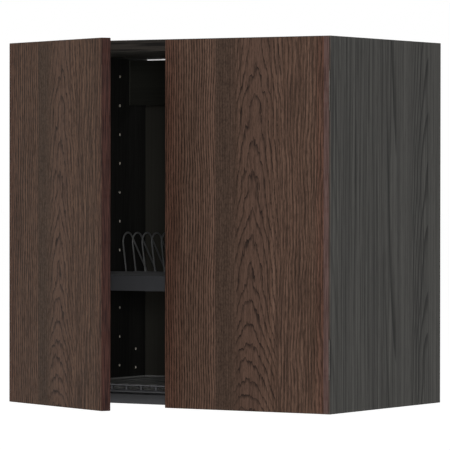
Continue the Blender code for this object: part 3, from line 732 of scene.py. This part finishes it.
def rounded(points):
    """The same open line with its corners rounded."""
    made = [points[0]]
    for before, corner, after in zip(points, points[1:], points[2:]):
        back = before - corner
        on = after - corner
        cut = LOOP_BEND_RADIUS / math.tan(back.angle(on) / 2)
        cut = min(cut, back.length * 0.49, on.length * 0.49)
        start = corner + back.normalized() * cut
        end = corner + on.normalized() * cut
        for step in range(BEND_STEPS + 1):
            share = step / BEND_STEPS
            made.append(start * (1 - share) ** 2 + corner * 2 * share * (1 - share) + end * share ** 2)
    made.append(points[-1])
    return made


def loop_path(foot_z, crown_z):
    """One loop seen from the side: up the front leg, over the crown and down the long rear leg."""
    bend_z = foot_z + LOOP_BEND_RISE
    centre = Vector((0.0, LOOP_FRONT_Y + LOOP_CENTRE_BACK, crown_z - LOOP_RADIUS))
    drop = centre.z - bend_z
    front_reach = centre.y - LOOP_FRONT_Y
    rear_reach = LOOP_REAR_Y - centre.y
    front_lean = math.acos(LOOP_RADIUS / math.hypot(front_reach, drop))
    rear_lean = math.acos(LOOP_RADIUS / math.hypot(rear_reach, drop))
    start = math.pi + math.atan2(drop, front_reach) - front_lean
    end = rear_lean - math.atan2(drop, rear_reach)
    crown = []
    for step in range(CROWN_STEPS + 1):
        angle = start + (end - start) * step / CROWN_STEPS
        crown.append(centre + LOOP_RADIUS * Vector((0.0, math.cos(angle), math.sin(angle))))
    front = rounded([Vector((0.0, LOOP_FRONT_Y, foot_z)), Vector((0.0, LOOP_FRONT_Y, bend_z)), crown[0]])
    rear = rounded([crown[-1], Vector((0.0, LOOP_REAR_Y, bend_z)), Vector((0.0, LOOP_REAR_Y, foot_z))])
    return front[:-1] + crown + rear[1:]


def collar_points(foot, following):
    """Points on a leg between its foot and the next point, for the curve of the weld collar."""
    levels = [foot.z + rise for rise in COLLAR_RISES]
    return [Vector((0.0, foot.y, level)) for level in levels if level < following.z]


def put_wire(bm, path, x):
    """A loop's round wire along a path in a plane of equal X, with a weld collar at each end."""
    travelled = [0.0]
    for first, second in zip(path, path[1:]):
        travelled.append(travelled[-1] + (second - first).length)
    rings = []
    for number, point in enumerate(path):
        before = path[max(number - 1, 0)]
        after = path[min(number + 1, len(path) - 1)]
        along = (after - before).normalized()
        normal = Vector((0.0, -along.z, along.y))
        from_end = min(travelled[number], travelled[-1] - travelled[number])
        radius = LOOP_WIRE * (1.0 + WELD_SWELL * max(0.0, 1.0 - from_end / WELD_LENGTH) ** 2)
        ring = []
        for step in range(WIRE_SIDES):
            angle = 2.0 * math.pi * step / WIRE_SIDES
            offset = radius * (math.cos(angle) * Vector((1.0, 0.0, 0.0)) + math.sin(angle) * normal)
            ring.append(bm.verts.new(point + Vector((x, 0.0, 0.0)) + offset))
        rings.append(ring)
    bridge_all(bm, rings)
    bm.faces.new(rings[0])
    bm.faces.new(rings[-1])


loop_names = sorted(name for name in nodes if name.startswith("plate_loop_"))
wires = bmesh.new()
for name in loop_names:
    low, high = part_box(name)
    path = loop_path(low[2] - LOOP_FOOT_DROP, high[2] - LOOP_WIRE)
    front_collar = collar_points(path[0], path[1])
    rear_collar = collar_points(path[-1], path[-2])[::-1]
    path = [path[0]] + front_collar + path[1:-1] + rear_collar + [path[-1]]
    put_wire(wires, path, (low[0] + high[0]) / 2)
plate_loops = make_piece("plate_loops", wires, wire_coat, "plate_rack")
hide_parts(*loop_names)


# Floor, light and camera

def stage_material():
    """Pale floor: white to the camera where nothing shades it, and it keeps the cabinet's shadow."""
    t = Tree("pale_floor")
    diffuse = t.tree.nodes.new("ShaderNodeBsdfDiffuse")
    diffuse.inputs["Color"].default_value = (FLOOR_WHITE, FLOOR_WHITE, FLOOR_WHITE, 1.0)
    glow = t.tree.nodes.new("ShaderNodeEmission")
    glow.inputs["Color"].default_value = (1.0, 1.0, 1.0, 1.0)
    path = t.tree.nodes.new("ShaderNodeLightPath")
    seen = t.largest(path.outputs["Is Camera Ray"], path.outputs["Is Glossy Ray"])
    seen = t.largest(seen, path.outputs["Is Transmission Ray"])
    t.feed(glow.inputs["Strength"], t.times(seen, FLOOR_GLOW))
    both = t.tree.nodes.new("ShaderNodeAddShader")
    t.tree.links.new(diffuse.outputs[0], both.inputs[0])
    t.tree.links.new(glow.outputs[0], both.inputs[1])
    t.tree.links.new(both.outputs[0], t.output.inputs[0])
    return t.material


floor_mesh = bpy.data.meshes.new("floor")
floor_mesh.from_pydata(
    [(x * FLOOR_HALF, y * FLOOR_HALF, FLOOR_LEVEL) for x, y in ((-1, -1), (1, -1), (1, 1), (-1, 1))],
    [], [(0, 1, 2, 3)])
floor_mesh.materials.append(stage_material())
floor = bpy.data.objects.new("floor", floor_mesh)
scene.collection.objects.link(floor)

# White to the camera, and dimmer as a light
world = bpy.data.worlds.new("studio")
scene.world = world
world.use_nodes = True
world_tree = world.node_tree
world_tree.nodes.clear()
world_out = world_tree.nodes.new("ShaderNodeOutputWorld")
background = world_tree.nodes.new("ShaderNodeBackground")
background.inputs["Color"].default_value = (1.0, 1.0, 1.0, 1.0)
light_path = world_tree.nodes.new("ShaderNodeLightPath")
strength = world_tree.nodes.new("ShaderNodeMapRange")
strength.inputs["To Min"].default_value = WORLD_LIGHT
strength.inputs["To Max"].default_value = 1.0
world_tree.links.new(light_path.outputs["Is Camera Ray"], strength.inputs["Value"])
world_tree.links.new(strength.outputs[0], background.inputs["Strength"])
world_tree.links.new(background.outputs[0], world_out.inputs[0])


def soft_light(name, place, size, power):
    """A square area light that points at the middle of the cabinet."""
    data = bpy.data.lights.new(name, "AREA")
    data.shape = "SQUARE"
    data.size = size
    data.energy = power
    lamp = bpy.data.objects.new(name, data)
    scene.collection.objects.link(lamp)
    direction = Vector(LIGHT_TARGET) - Vector(place)
    turn = direction.to_track_quat("-Z", "Y").to_matrix().to_4x4()
    lamp.matrix_world = Matrix.Translation(place) @ turn


soft_light("key_light", (-1.6, -3.4, 1.4), 2.2, 38.0)
soft_light("side_light", (3.4, -0.8, 0.6), 2.2, 28.0)
soft_light("front_light", (2.6, -4.7, 2.1), 1.2, 10.0)
soft_light("low_light", (3.05, -5.0, 0.05), 0.9, 47.0)

scene.view_settings.view_transform = "Standard"


def camera_matrix(place, yaw, pitch, roll):
    """Looks along +Y where yaw is 0, and to the left where it is more."""
    level = Vector((-math.sin(yaw), math.cos(yaw), 0.0))
    forward = math.cos(pitch) * level + math.sin(pitch) * Vector((0.0, 0.0, 1.0))
    right = Vector((math.cos(yaw), math.sin(yaw), 0.0))
    up = right.cross(forward)
    turned_right = math.cos(roll) * right + math.sin(roll) * up
    turned_up = math.cos(roll) * up - math.sin(roll) * right
    columns = Matrix((turned_right, turned_up, -forward)).transposed().to_4x4()
    return Matrix.Translation(place) @ columns


camera_data = bpy.data.cameras.new("camera")
camera_data.lens = CAMERA_LENS
camera_data.sensor_width = CAMERA_SENSOR
camera_data.clip_end = CAMERA_REACH
camera = bpy.data.objects.new("camera", camera_data)
camera.matrix_world = camera_matrix(CAMERA_PLACE, CAMERA_YAW, CAMERA_PITCH, CAMERA_ROLL)
scene.collection.objects.link(camera)
scene.camera = camera
